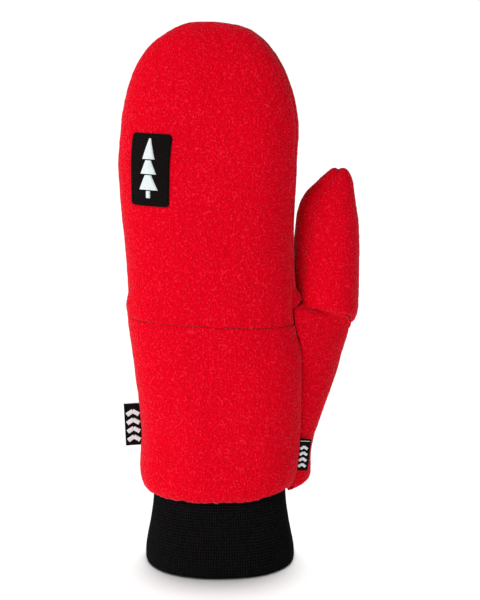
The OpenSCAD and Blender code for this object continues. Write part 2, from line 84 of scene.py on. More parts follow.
def hashed(ix, iy, iz, seed):
    """A number from -1 to 1 that depends only on a lattice corner and the seed."""
    n = (ix * 374761393 + iy * 668265263 + iz * 1440670441 + seed * 1274126177) & 0xFFFFFFFF
    n = ((n ^ (n >> 13)) * 1274126177) & 0xFFFFFFFF
    n = (n ^ (n >> 16)) & 0xFFFF
    return n / 32767.5 - 1.0


def noise(p, size, seed=0):
    """Smooth value noise from -1 to 1 over points p (..., 3) in mm, with features of about `size` mm."""
    q = np.asarray(p, float) / size + 31.7 + seed * 7.13
    base = np.floor(q).astype(np.int64)
    f = q - base
    f = f * f * (3 - 2 * f)
    sides = (1 - f, f)
    total = 0.0
    for dx, dy, dz in np.ndindex(2, 2, 2):
        weight = sides[dx][..., 0] * sides[dy][..., 1] * sides[dz][..., 2]
        total = total + weight * hashed(base[..., 0] + dx, base[..., 1] + dy, base[..., 2] + dz, seed)
    return total


def signed_pow(v, e):
    return np.sign(v) * np.abs(v) ** e


def points(*axes):
    """Points from their coordinates, each an array or a number."""
    return np.stack(np.broadcast_arrays(*axes), -1)


def oval(a, half_w, half_d, exponent):
    """A point of a rounded oval at angle a in degrees."""
    r = np.radians(a)
    return half_w * signed_pow(np.cos(r), 2 / exponent), half_d * signed_pow(np.sin(r), 2 / exponent)


def even_angles(a0, a1, count, half_w, half_d, exponent, wrap=False):
    """`count` angles spaced evenly along an oval. A wrapped ring leaves its last angle out."""
    a = np.linspace(a0, a1, 4001)
    x, y = oval(a, half_w, half_d, exponent)
    s = np.concatenate([[0], np.cumsum(np.hypot(np.diff(x), np.diff(y)))])
    return np.interp(np.linspace(0, s[-1], count, endpoint=not wrap), s, a)


# ---- grids to meshes

UP = np.array([0.0, 0.0, 1.0])
COARSE = 4                # the inside of a fleece panel has one point for this many outside


def points_for(length, pitch):
    """How many points a grid side needs, so that the coarse inner grid fits it."""
    return COARSE * max(2, int(round(length / pitch / COARSE))) + 1


def unit(v):
    return v / np.maximum(np.linalg.norm(v, axis=-1, keepdims=True), 1e-9)


def grid_normals(p, wrap=False):
    """Unit normals of a grid (rows, cols, 3). They point outwards when the columns run anticlockwise
    seen from above and the rows run upwards."""
    du = (np.roll(p, -1, axis=1) - np.roll(p, 1, axis=1)) / 2 if wrap else np.gradient(p, axis=1)
    return unit(np.cross(du, np.gradient(p, axis=0)))


def lengths_along(p, axis):
    """Distance in mm from the first row or column, along the grid."""
    steps = np.linalg.norm(np.diff(p, axis=axis), axis=-1)
    pad = [(0, 0), (0, 0)]
    pad[axis] = (1, 0)
    return np.cumsum(np.pad(steps, pad), axis=axis)


def in_scene(name, data):
    o = bpy.data.objects.new(name, data)
    bpy.context.scene.collection.objects.link(o)
    return o


def quads(rows, cols, wrap=False, start=0, flip=False):
    i, j = np.meshgrid(np.arange(rows - 1), np.arange(cols if wrap else cols - 1), indexing="ij")
    k = (j + 1) % cols
    q = np.stack([i * cols + j, i * cols + k, (i + 1) * cols + k, (i + 1) * cols + j], -1).reshape(-1, 4)
    return ((q[:, ::-1] if flip else q) + start).tolist()


def shell_mesh(outer, inner, wrap=False):
    """A closed wall. Each side of the inner grid may be COARSE times coarser than the outer one's."""
    rows, cols = outer.shape[:2]
    in_rows, in_cols = inner.shape[:2]
    step_r = (rows - 1) // (in_rows - 1)
    step_c = cols // in_cols if wrap else (cols - 1) // (in_cols - 1)
    n = rows * cols
    faces = quads(rows, cols, wrap) + quads(in_rows, in_cols, wrap, n, flip=True)
    for j in range(in_cols if wrap else in_cols - 1):
        k = (j + 1) % in_cols
        run = [(j * step_c + s) % cols for s in range(step_c + 1)]
        faces.append(run[::-1] + [n + j, n + k])
        top, in_top = (rows - 1) * cols, n + (in_rows - 1) * in_cols
        faces.append([top + c for c in run] + [in_top + k, in_top + j])
    if not wrap:
        for i in range(in_rows - 1):
            run = [(i * step_r + s) * cols for s in range(step_r + 1)]
            faces.append(run + [n + (i + 1) * in_cols, n + i * in_cols])
            right = [r + cols - 1 for r in run]
            faces.append(right[::-1] + [n + i * in_cols + in_cols - 1, n + (i + 1) * in_cols + in_cols - 1])
    return np.concatenate([outer.reshape(-1, 3), inner.reshape(-1, 3)]), faces


def capped(rings):
    """A bar from its rings (rows, cols, 3), closed at both ends: its points and faces."""
    rows, cols = rings.shape[:2]
    ends = [list(range(cols))[::-1], [(rows - 1) * cols + j for j in range(cols)]]
    return rings.reshape(-1, 3), quads(rows, cols, wrap=True) + ends


def looped(rings):
    """A bar from its rings whose last ring meets its first: its points and faces."""
    rows, cols = rings.shape[:2]
    faces = quads(rows + 1, cols, wrap=True)
    return rings.reshape(-1, 3), [[i % (rows * cols) for i in f] for f in faces]


def sweep(path, out, profile):
    """Rings of a bar along a path. The profile is a list of (along `out`, upwards) in mm, anticlockwise
    seen along the path when `out` points to its right."""
    return path[:, None] + out[:, None] * profile[None, :, :1] + UP * profile[None, :, 1:]


def round_profile(half_w, half_h):
    """A rounded bar section for sweep(), centred on the path."""
    return points(*oval(np.linspace(0, 360, 10, endpoint=False), half_w, half_h, 2.6))


def tube(path, radius, sides):
    """A round thread through the points of a path."""
    along = unit(np.gradient(path, axis=0))
    helper = np.array([0.13, 0.31, 0.94]) if abs(along[:, 2]).mean() < 0.8 else np.array([0.94, 0.3, 0.1])
    side = unit(np.cross(along, helper))
    other = np.cross(along, side)
    a = np.linspace(0, math.tau, sides, endpoint=False)
    shape = side[:, None] * np.cos(a)[None, :, None] + other[:, None] * np.sin(a)[None, :, None]
    return capped(path[:, None] + radius * shape)


# ---- the form

EXPONENT = 2.35           # exponent of the sections' oval: 2 is an ellipse
SEAM_Z = 140.5            # the hood's hinge seam
THUMB_SEAM = -14.0        # section angle of the seam next to the thumb; the front is -90
LITTLE_SEAM = 182.0       # section angle of the seam next to the little finger
GUSSET_REAR = 40.0        # section angle where the thumb gusset meets the palm
FLEECE = 2.2              # thickness of the fleece
LINING = 0.9              # thickness of the linings
HAND_OVAL = (46, 28, EXPONENT)         # ovals of about the parts' sizes, to space angles evenly
HOOD_OVAL = (47, 26.5, EXPONENT)
PITCH = 0.62              # grid spacing of the fleece

# Hand part: height, left edge, right edge, front depth, back depth
HAND = np.array([
    [40.5, -49.4, 24, 25, 25],
    [42.5, -52.4, 27.2, 28.3, 28],
    [46, -55.2, 30.4, 30.3, 29.8],
    [52, -56.7, 32.8, 30.9, 30.6],
    [60, -56.6, 34.2, 30.3, 30.2],
    [75, -55.3, 35, 29.3, 29.3],
    [92, -56.5, 35.5, 28.4, 28.4],
    [110, -58.7, 35.4, 27.2, 27.4],
    [126, -60.4, 34.6, 26, 26.2],
    [137, -61.7, 32, 25, 25],
    [150, -62, 30.5, 24.6, 24.8]])

# Hood: row, height, left edge, right edge, front depth, back depth
HOOD = np.array([
    [-1, 126, -62, 32.5, 25, 25.2],
    [0, 140.5, -62.2, 31, 24.6, 25],
    [0.4, 147, -62.6, 30.3, 24.9, 25.4],
    [1, 157, -61.3, 29.8, 25.4, 26],
    [2, 180, -62.5, 29.2, 26.2, 27],
    [3, 204, -64.3, 29.8, 26.8, 27.3],
    [4, 226, -65, 30.5, 26.6, 26.8],
    [5, 243, -63.5, 30.9, 25.3, 25.6],
    [6, 257, -61.1, 29.3, 23.3, 23.6],
    [7, 268.5, -57.9, 25.9, 20.6, 20.9],
    [8, 278.5, -53.4, 21, 17.6, 17.8],
    [9, 286.5, -47.4, 15.2, 14.2, 14.4],
    [10, 292.2, -39.6, 8.8, 10.6, 10.8],
    [10.8, 296, -32.6, 1.8, 6.6, 6.8],
    [11.4, 298, -26.5, -8.5, 3.2, 3.3],
    [11.8, 298.5, -21, -15, 0.9, 0.9],
    [11.95, 298.5, -18.3, -17.7, 0.1, 0.1]])
HOOD_TOP = HOOD[-1, 0]

# Thumb cap: row, height, left edge, right edge, front depth, back depth about the thumb's middle plane
THUMB_Y = 12.8
CAP = np.array([
    [0, 134, 30.6, 61.6, 18.6, 17.2],
    [0.35, 137.5, 30.4, 64.2, 19.2, 17.6],
    [0.7, 141.5, 30.4, 65.7, 19.3, 17.8],
    [1, 146, 30.4, 66.2, 19, 17.9],
    [2, 160, 30.2, 66.2, 17.6, 17.6],
    [3, 176, 30.2, 66.2, 16.1, 16.6],
    [4, 190, 31, 65.6, 14.4, 14.9],
    [5, 200, 32.6, 64.1, 12.6, 13],
    [6, 207.5, 36.2, 62.9, 10.6, 11],
    [7, 213, 41.6, 62, 8.6, 8.9],
    [8, 217.5, 46.2, 60.6, 6.4, 6.6],
    [8.7, 220.2, 49.2, 59, 4.2, 4.3],
    [9.2, 221.5, 52, 56.6, 1.6, 1.6],
    [9.35, 221.5, 54.10, 54.50, 0.1, 0.1]])
CAP_TOP = CAP[-1, 0]

# Thumb gusset: height, right edge, middle in Y of that edge, half depth there
GUSSET = np.array([
    [41, 29, 4, 8],
    [43, 35.4, 4, 8.5],
    [46, 39.8, 4, 9],
    [51, 40.6, 4, 9],
    [58, 40.4, 4.2, 9],
    [68, 41.6, 4.6, 9.2],
    [80, 45.2, 5.8, 9.6],
    [93, 49.8, 8, 10.4],
    [106, 54.2, 10.6, 11.2],
    [118, 57.4, 12.8, 12],
    [130, 60.8, 14.4, 12.4],
    [140, 62.8, 15, 12.6],
    [151, 62.2, 15, 12.6]])

# Cuff: height, half width, half depth
CUFF = np.array([
    [0, 42.5, 33.1],
    [6, 42.3, 32.7],
    [14, 41, 30.6],
    [22, 39.4, 28],
    [33, 37.8, 25.6],
    [50, 36.8, 24]])
CUFF_X = -11.4
CUFF_EXPONENT = 2.25
CUFF_OVAL = (39, 28, CUFF_EXPONENT)    # an oval of about its size, to space angles evenly


def section(a, z, left, right, front, back):
    """Points of the body's oval: a in degrees, 0 at the thumb side, -90 at the back of the hand."""
    mid, half = (left + right) / 2, (right - left) / 2
    x, y = oval(a, half, 1.0, EXPONENT)
    y = np.where(y < 0, y * front, y * back)
    return points(mid + x, y, z)


def hand_form(a, z):
    return section(a, z, *np.moveaxis(curve(HAND, z), -1, 0))


def signed_angle(a):
    """The angle a from -180 up to 180 degrees."""
    return (np.asarray(a, float) + 180) % 360 - 180


def hood_form(a, t):
    """The hood, with the small fold of its palm panel beside the thumb's root."""
    p = section(a, *np.moveaxis(curve(HOOD, t), -1, 0))
    angle = signed_angle(a)
    fold = np.exp(-((p[..., 2] - 151.0) / 4.6) ** 2 - ((angle + 3.0) / 9.0) ** 2)
    p[..., 0] += 3.4 * fold * smooth((angle + 14.5) / 5)
    return p


def cap_form(a, t):
    """The thumb cap. Its top has a shallow notch where the two panels meet."""
    p = section(a, *np.moveaxis(curve(CAP, t), -1, 0))
    p[..., 1] += THUMB_Y
    p[..., 2] -= np.exp(-((p[..., 0] - 54.0) / 1.3) ** 2) * smooth((p[..., 2] - 216) / 5)
    return p


def row_at(table, z, count):
    """The row of a form's table whose height is z, looked up among `count` rows."""
    rows = np.linspace(table[0, 0], table[-1, 0], count)
    return np.interp(z, curve(table, rows)[:, 0], rows)


def hood_row(z):
    return row_at(HOOD, z, 1281)


def cap_row(z):
    return row_at(CAP, z, 921)


def seam_tilt(x):
    """The hood seam runs a little lower at the thumb."""
    return -0.048 * (x + 15.0)


# Cap hem: angle, height. It is high at the front and low at the outer side.
CAP_HEM = np.array([[-180, 147.5], [-120, 146.3], [-90, 145.0], [-62, 143.4], [-44, 141.2], [-31, 138.2],
                    [-12, 135.6], [20, 135.2], [55, 137.4], [90, 140.8], [125, 143.6], [180, 147.5]])


def cap_hem(a):
    return curve(CAP_HEM, signed_angle(a))[..., 0]


def cap_seam(t):
    """Angle of the cap's front seam at row t."""
    return -150 + 62 * np.clip(t / CAP_TOP, 0, 1) ** 0.8


CAP_REAR = 80.0           # section angle of the cap's rear seam


def gusset_form(s, z):
    """Points from the front seam, s = 0, round the thumb's base to the rear seam, s = 1. Above the cap's
    hem the front draws back, so that it lies inside the cap."""
    front, rear = (hand_form(np.full(z.shape, a), np.minimum(z, 149.0)) for a in (THUMB_SEAM, GUSSET_REAR))
    rear[..., :2] -= np.array([2.2, 2.6]) * smooth((z - 118) / 8)[..., None]
    front[..., 2] = rear[..., 2] = z
    edge, mid_y, half = np.moveaxis(curve(GUSSET, z), -1, 0)
    bulge = (8 * edge - front[..., 0] - rear[..., 0]) / 6
    p1 = points(bulge, mid_y - half * 1.02, z)
    p2 = points(bulge, mid_y + half * 1.75, z)
    k = s[..., None]
    p = (1 - k)**3 * front + 3 * k * (1 - k)**2 * p1 + 3 * k * k * (1 - k) * p2 + k**3 * rear
    a = -158 + 328 * s
    sleeve = cap_form(a, cap_row(np.full(z.shape, 150.0)))
    middle = np.array([48.2, THUMB_Y])
    inset = sleeve[..., :2] - middle
    reach = np.linalg.norm(inset, axis=-1, keepdims=True)
    sleeve[..., :2] = middle + inset * (reach - FLEECE - 1.6) / reach
    sleeve[..., 2] = z
    draw_back = cap_hem(a) - 5.5 + 4.5 * (1 - smooth(s / 0.16))
    under = smooth((z - draw_back) / 5.5) * (1 - smooth((s - 0.5) / 0.22))
    return p + (sleeve - p) * under[..., None]


def cuff_form(a, z):
    half_w, half_d = np.moveaxis(curve(CUFF, z), -1, 0)
    x, y = oval(a, 1.0, 1.0, CUFF_EXPONENT)
    return points(CUFF_X + x * half_w, y * half_d, z)


def inset(p, depth, wrap=False):
    """A grid moved inwards by a depth in mm."""
    return p - grid_normals(p, wrap) * depth


# ---- materials

class Tree:
    """The node tree of a material or a world, built by short calls."""

    def __init__(self, owner):
        owner.use_nodes = True
        self.nodes, self.links = owner.node_tree.nodes, owner.node_tree.links

    def put(self, node, **values):
        """Sets a node's inputs and settings. In an input's name _ stands for a space. An output is linked."""
        for key, value in values.items():
            name = key.replace("_", " ")
            if isinstance(value, bpy.types.NodeSocket):
                self.links.new(value, node.inputs[name])
            elif name in node.inputs:
                node.inputs[name].default_value = value
            else:
                setattr(node, key, value)
        return node

    def add(self, kind, output=0, **values):
        """An output of a new node."""
        return self.put(self.nodes.new("ShaderNode" + kind), **values).outputs[output]

    def grain(self, at, scale, detail, roughness=0.5, distortion=0.0):
        return self.add("TexNoise", "Fac", Vector=at, Scale=scale, Detail=detail, Roughness=roughness,
                        Distortion=distortion)

    def maths(self, operation, *terms):
        """The output of a Math node. Each term is an output or a number."""
        n = self.nodes.new("ShaderNodeMath")
        n.operation = operation
        for socket, term in zip(n.inputs, terms):
            if isinstance(term, bpy.types.NodeSocket):
                self.links.new(term, socket)
            else:
                socket.default_value = term
        return n.outputs[0]

    def sums(self, *terms):
        """The sum of outputs times weights."""
        total = 0.0
        for output, weight in terms:
            total = self.maths("MULTIPLY_ADD", output, weight, total)
        return total

    def ramp(self, at, stops):
        """A colour from a value."""
        r = self.put(self.nodes.new("ShaderNodeValToRGB"), Fac=at)
        while len(r.color_ramp.elements) < len(stops):
            r.color_ramp.elements.new(0.5)
        for e, (pos, colour) in zip(r.color_ramp.elements, stops):
            e.position, e.color = pos, (*colour, 1.0)
        return r.outputs["Color"]

    def cloth(self, colour, height, bump, distance, roughness, specular, sheen, sheen_roughness,
              tint=(1, 1, 1)):
        """Sets the shader to a cloth."""
        normal = self.add("Bump", "Normal", Strength=bump, Distance=distance, Height=height)
        self.put(self.nodes["Principled BSDF"], Base_Color=colour, Roughness=roughness, Normal=normal,
                 Specular_IOR_Level=specular, Sheen_Weight=sheen, Sheen_Roughness=sheen_roughness,
                 Sheen_Tint=(*tint, 1.0))


def material(name):
    """A new material, its tree, and the output of its object coordinates."""
    m = bpy.data.materials.new(name)
    t = Tree(m)
    return m, t, t.add("TexCoord", "Object")


def fleece_material(name, shadow, base, tip, grain=1.0, sheen=0.28, bump=1.0):
    """Anti-pill fleece: short tufts that curl into worm-like specks. Its colour paints a highlight on the
    tufts' tips and shade in the gaps between them.
    """
    m, t, at = material(name)
    patches = t.grain(at, 45.0, 3.0, 0.55)
    tufts = t.grain(at, 1000.0 / grain, 0.6, 0.4, 0.3)
    clumps = t.grain(at, 480.0 / grain, 2.0, 0.5, 0.5)
    fibres = t.grain(at, 4200.0, 2.0, 0.6)
    # Colour stops: painted shade in the gaps, the fleece's red, and a painted highlight on the tufts' tips
    colour = t.ramp(t.sums((tufts, 0.74), (clumps, 0.08), (fibres, 0.12), (patches, 0.06)),
                    [(0.34, shadow), (0.43, base), (0.55, base), (0.66, tip)])
    raised = t.add("MapRange", "Result", interpolation_type="SMOOTHSTEP", From_Min=0.30, From_Max=0.76,
                   Value=tufts)
    height = t.sums((raised, 0.55), (clumps, 0.4), (fibres, 0.12))
    t.cloth(colour, height, bump, 0.0006, 0.9, 0.03, sheen, 0.28, (0.5, 0.46, 0.52))
    return m


def woven_material(name, dark, light, pitch, roughness=0.8, bump=0.5, sheen=0.05, specular=0.1,
                   shaded_holes=False):
    """Fine cloth: two crossed sets of threads, with uneven yarn. Where its mesh marks a hole between loops,
    the colour is darker: painted shade in the holes."""
    m, t, at = material(name)
    yarn = t.grain(at, 900.0, 3.0, 0.6)
    split = t.put(t.nodes.new("ShaderNodeSeparateXYZ"), Vector=at)
    x, z = (t.maths("SINE", t.maths("MULTIPLY", split.outputs[axis], math.tau / (pitch * MM)))
            for axis in ("X", "Z"))
    height = t.sums((yarn, 1.0), (t.maths("MULTIPLY", x, z), 0.35))
    shade = height
    # Painted shade: the cloth is darker in the holes between its loops
    if shaded_holes:
        shade = t.sums((height, 1.0), (t.add("Attribute", "Fac", attribute_name="hole"), -1.5))
    colour = t.ramp(shade, [(0.25, dark), (0.85, light)])
    t.cloth(colour, height, bump, 0.0003, roughness, specular, sheen, 0.5)
    return m


def plating_material():
    """Nickel plate with fine tumbling marks."""
    m, t, at = material("magnet_plating")
    grain = t.grain(at, 1400.0, 3.0)
    colour = t.ramp(grain, [(0.3, (0.42, 0.42, 0.44)), (0.7, (0.62, 0.62, 0.64))])
    rough = t.add("MapRange", "Result", To_Min=0.24, To_Max=0.42, Value=grain)
    t.put(t.nodes["Principled BSDF"], Base_Color=colour, Metallic=1.0, Roughness=rough)
    return m


# Each fleece's colours: the painted shade of its gaps, its red, and the painted highlight of its tufts' tips
RED = fleece_material("red_fleece", (0.62, 0.0, 0.006), (0.74, 0.0002, 0.011), (0.86, 0.010, 0.032))
RED_STUB = fleece_material("red_fleece_stub", (0.42, 0.0002, 0.004), (0.62, 0.0006, 0.012),
                           (0.78, 0.018, 0.034), grain=0.9)
RED_LINING = fleece_material("red_lining", (0.34, 0.001, 0.008), (0.48, 0.003, 0.014), (0.60, 0.012, 0.026),
                             grain=1.5, sheen=0.15, bump=0.5)
BINDING = woven_material("red_binding", (0.30, 0.001, 0.006), (0.52, 0.006, 0.016), 0.7)
THREAD = woven_material("red_thread", (0.34, 0.001, 0.008), (0.58, 0.006, 0.02), 0.5, roughness=0.6)
# Black rib knit, with painted shade in the holes between its loops
KNIT = woven_material("black_rib_knit", (0.0002, 0.0002, 0.0002), (0.0115, 0.0096, 0.0115), 0.6,
                      roughness=0.9, bump=0.35, sheen=0.02, specular=0.05, shaded_holes=True)
BLACK_ELASTIC = woven_material("black_elastic", (0.003, 0.003, 0.003), (0.012, 0.012, 0.012), 0.8)
LABEL = woven_material("black_label", (0.0020, 0.0013, 0.0012), (0.0085, 0.0056, 0.0050), 0.42,
                       roughness=0.85, bump=0.6, sheen=0.02, specular=0.06)
BLACK_THREAD = woven_material("black_thread", (0.0008, 0.0008, 0.0008), (0.004, 0.004, 0.004), 0.3,
                              roughness=0.5)
WHITE = woven_material("white_thread", (0.72, 0.78, 0.80), (0.90, 0.95, 0.95), 0.36, roughness=0.7, bump=0.5)
PLATING = plating_material()


def joined(name, parts, m, body, node, turn_out=False):
    """One object from parts, each a pair of points in mm and faces, with its material and slot. It stands for
    a CAD node and rides on a body, or on none if no body is given."""
    verts, faces, start = [], [], 0
    for v, f in parts:
        verts.append(v)
        faces += [[start + i for i in face] for face in f]
        start += len(v)
    mesh = bpy.data.meshes.new(name)
    mesh.from_pydata((np.concatenate(verts) * MM).tolist(), [], faces)
    mesh.validate()
    mesh.polygons.foreach_set("use_smooth", [True] * len(mesh.polygons))
    mesh.update()
    o = in_scene(name, mesh)
    if turn_out:
        b = bmesh.new()
        b.from_mesh(mesh)
        bmesh.ops.recalc_face_normals(b, faces=b.faces)
        b.to_mesh(mesh)
        b.free()
    mesh.materials.append(m)
    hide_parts(node)
    if body:
        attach(o, body)
    return o


# ---- fleece panels

PALM_INSET = 3.6          # how far the palm panel lies inside the hood's hem
FOLD_SEED = 7             # every panel takes its folds from one field, so that sewn edges stay together


def roll_edges(p, centre, left=0.0, right=0.0, low=0.0, high=0.0, reach=2.4):
    """Turns the edges of a fleece panel in towards the middle of its shell, as where it is sewn. Each depth
    is in mm. With no centre given, the middle is halfway between the panel's two sides."""
    middle = (p[:, :1] + p[:, -1:]) / 2 if centre is None else np.array([*centre, 0.0])
    outwards = unit((p - middle) * [1.0, 1.0, 0.0])
    across = lengths_along(p, 1)
    along = lengths_along(p, 0)
    drop = np.zeros(p.shape[:2])
    for depth, distance in ((left, across), (right, across[:, -1:] - across),
                            (low, along), (high, along[-1:] - along)):
        k = np.clip(1 - distance / reach, 0, 1)
        drop = np.maximum(drop, depth * (1 - np.sqrt(np.clip(1 - k * k, 0, 1))))
    reach_in = np.linalg.norm((p - middle) * [1.0, 1.0, 0.0], axis=2)
    return p - outwards * np.minimum(drop, 0.8 * reach_in)[..., None]


def layered(p, seed, *layers):
    """Noise summed over layers of (size of feature, height), each with a seed of its own."""
    return sum(noise(p, size, seed + k) * height for k, (size, height) in enumerate(layers))


def folds(p, seed):
    """Height in mm of the wide, shallow unevenness of a soft shell."""
    q = p * np.array([1.0, 1.0, 0.75])
    return noise(q, 34, seed) * 0.55 + noise(q, 17, seed + 5) * 0.28


def fleece(name, p, seed, body, node, thickness=FLEECE, fold_share=1.0, wavy=0.0, pucker=(),
           centre=None, **edges):
    """A fleece panel from its form p. `pucker` names the sewn edges, where two panels keep to one line, and
    `edges` are the rolled ones. Its folds, the gathers at its seams, its pile and, if it is wavy, its cut
    lower edge are noise."""
    n = grid_normals(p)
    across, along = lengths_along(p, 1), lengths_along(p, 0)
    sides = {"left": across, "right": across[:, -1:] - across, "low": along, "high": along[-1:] - along}
    to_seam = np.minimum.reduce([sides[side] for side in pucker])
    height = folds(p, FOLD_SEED) * fold_share * smooth(to_seam / 5)
    gathers = np.exp(-to_seam / 7.0) * layered(p, FOLD_SEED + 20, (9, 0.3), (3.6, 0.14))
    height = height + gathers * smooth(to_seam / 1.8)
    p = p + n * height[..., None]
    if wavy:
        p[..., 2] += wavy * (np.exp(-along / 1.6) * layered(p, seed + 30, (1.5, 0.5), (3.1, 0.35), (9, 0.4)))
    q = roll_edges(p, centre, **edges)
    n = grid_normals(q)
    pile = layered(q, seed + 11, (1.45, 0.13), (2.5, 0.08), (6.5, 0.08))
    outer = q + n * (pile * smooth(to_seam / 1.4))[..., None]
    inner = (q - n * thickness)[::COARSE, ::COARSE]
    o = joined(name, [shell_mesh(outer, inner)], RED, body, node)
    return o


def hem_rise(x):
    """The lower hem is drawn up beside the thumb's base."""
    return 2.3 + 3.2 * smooth((x - 7) / 15)


def back_of_hand():
    a = even_angles(LITTLE_SEAM, 360 + THUMB_SEAM, points_for(112, PITCH), *HAND_OVAL)
    z = np.linspace(0, 1, points_for(101, PITCH))
    A, Z = np.meshgrid(a, z)
    low = 40.5 + hem_rise(hand_form(a, np.full(a.shape, 46.0))[:, 0])
    Z = low + Z * (SEAM_Z - low)
    p = hand_form(A, Z)
    p[..., 2] += smooth((Z - 105) / (SEAM_Z - 105)) * (seam_tilt(p[..., 0]) - 0.45)
    fleece("back_panel_fleece", p, 3, "hand", "back_panel", wavy=1.0, pucker=("left", "right", "high"),
           left=0.6, right=0.6, high=0.8)


def palm_of_hand():
    a = even_angles(GUSSET_REAR, LITTLE_SEAM, points_for(100, PITCH), *HAND_OVAL)
    z = np.linspace(40.5, SEAM_Z + 3.2, points_for(103, PITCH))
    A, Z = np.meshgrid(a, z)
    p = hand_form(A, Z)
    p = inset(p, (PALM_INSET * smooth((Z - 116) / 8))[..., None])
    fleece("palm_panel_fleece", p, 4, "hand", "palm_panel", wavy=1.0, pucker=("left", "right"),
           fold_share=1 - 0.75 * smooth((Z - 110) / 12), left=0.9, right=0.9)


def thumb_base():
    z = np.linspace(41.0, 151.0, points_for(114, PITCH))
    S, Z = np.meshgrid(np.linspace(0, 1, points_for(78, PITCH)), z)
    at_front = 1 - smooth(S / 0.16)
    Z = Z - 2.6 * at_front * smooth((Z - 118) / 33)                # its top is lower at the front seam,
    raised_hem = 4.2 * at_front * (1 - smooth((Z - 41) / 60))      # and its hem higher
    p = gusset_form(S, Z + raised_hem)
    fleece("thumb_gusset_fleece", p, 6, "hand", "thumb_gusset", wavy=0.9, pucker=("left", "right"),
           fold_share=1 - smooth((Z - 128) / 10) * smooth((S - 0.05) / 0.2), centre=(-12.0, 0.0),
           left=0.6, right=0.8)


def hood_bottom(a):
    """Height of the palm side's lower edge: over the thumb's root, then the hem that hangs at the palm."""
    lift = (5.8 + 3.6 * smooth((a + 13) / 10)) * (1 - smooth((a - 30) / 26))
    drop = 11.5 * smooth((a - 45) / 16) * smooth((LITTLE_SEAM - a) / 16)
    return SEAM_Z + lift - drop


def raised_rows(t, start, top):
    """Rows from 0 to a top, squeezed to run from `start` to it."""
    return start + (t / top) * (top - start)


def hood_grid(a0, a1, arc, bottom):
    """The hood's form between two angles, from its lower edge to its top."""
    a = even_angles(a0, a1, points_for(arc, PITCH), *HOOD_OVAL)
    rows = np.interp(np.linspace(0, 1, points_for(196, PITCH)), [0, 0.53, 0.83, 1.0], [0, 5, 9, HOOD_TOP])
    A, T = np.meshgrid(a, rows)
    T = raised_rows(T, hood_row(bottom(A)), HOOD_TOP)
    return hood_form(A, T), T


def hood():
    p, T = hood_grid(LITTLE_SEAM, 360 + THUMB_SEAM, 118, lambda a: np.full(np.shape(a), SEAM_Z))
    p[..., 2] += (1 - smooth(T / 1.3)) * (seam_tilt(p[..., 0]) - 0.4)
    back = fleece("hood_back_panel_fleece", p, 7, None, "hood_back_panel",
                  fold_share=smooth((HOOD_TOP - T) / 2.5), pucker=("left", "right", "low"),
                  left=0.7, right=0.7, low=0.8)
    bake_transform(back)

    p, T = hood_grid(THUMB_SEAM, LITTLE_SEAM, 118, hood_bottom)
    fleece("hood_palm_panel_fleece", p, 8, "hood", "hood_palm_panel",
           fold_share=smooth((HOOD_TOP - T) / 2.5) * smooth((p[..., 2] - 138) / 14), pucker=("left", "right"),
           left=0.9, right=0.9, low=0.7)


def thumb_cap():
    """Two panels between the front seam and the rear seam. The inner one ends at the front seam again."""
    rows = np.interp(np.linspace(0, 1, points_for(94, PITCH)), [0, 0.72, 1.0], [0, 6, CAP_TOP])
    for name, arc, seed in (("thumb_cap_outer_panel", 64, 9), ("thumb_cap_inner_panel", 46, 10)):
        S, T = np.meshgrid(np.linspace(0, 1, points_for(arc, PITCH)), rows)
        front = cap_seam(T)
        start, end = (front, CAP_REAR) if "outer" in name else (CAP_REAR, front + 360)
        A = start + S * (end - start)
        T = raised_rows(T, cap_row(cap_hem(A)), CAP_TOP)
        fleece(name + "_fleece", cap_form(A, T), seed, "thumb_cap", name, thickness=2.0,
               fold_share=smooth((CAP_TOP - T) / 3) * 0.6, pucker=("left", "right"),
               left=0.6, right=0.6, low=0.8)


# ---- fingerless openings

STUBS = (("index", 12.8, 153.8, 10.4), ("middle", -5.7, 159.8, 11.8),      # name, x, top, half depth
         ("ring", -24.3, 158.8, 11.8), ("little", -42.8, 151.3, 10.4))
STUB_HALF = 9.1
STUB_Y = -1.6
STUB_WALL = 1.4
BASE_Z = 139.8            # the finger stubs' lower ends
YOKE_X = -15.0
THUMB_X, THUMB_STUB_Y = 48.3, 12.5
THUMB_STUB = (12.4, 11.5)


def stub(name, x, y, half_w, half_d, low, high, seed):
    """A short open tube of fleece, a little uneven, that narrows by a hair towards its binding."""
    A, Z = np.meshgrid(np.linspace(0, 360, 120, endpoint=False),
                       np.linspace(low, high, points_for(high - low, 0.7)))
    ease = 1 - 0.035 * np.sin(math.pi * (Z - low) / (high - low))
    px, py = oval(A, half_w * ease, half_d * ease, 2.0)
    p = points(x + px, y + py, Z)
    n = grid_normals(p, wrap=True)
    p = p + n * (noise(p, 6, seed) * 0.18)[..., None]
    outer = p + n * (noise(p, 1.5, seed + 1) * 0.09)[..., None]
    wall = shell_mesh(outer, (p - n * STUB_WALL)[::COARSE, ::COARSE], wrap=True)
    joined(name + "_fleece", [wall], RED_STUB, "hand", name)


def pinched(path, out, pitch, amount):
    """Moves a path in and out a little, as the stitches pinch a binding."""
    s = lengths_along(path[:, None], 0)[:, 0]
    return path + out * (amount * np.sin(math.tau * s / pitch))[:, None]


def bound_edge(x, y, half_w, half_d, z, half_h):
    """The binding round an oval opening."""
    px, py = oval(np.linspace(0, 360, 120, endpoint=False), half_w, half_d, 2.0)
    path = points(x + px, y + py, z)
    out = unit(points(px / half_w**2, py / half_d**2, 0.0))
    return looped(sweep(pinched(path, out, 2.2, 0.06), out, round_profile(0.95, half_h)))


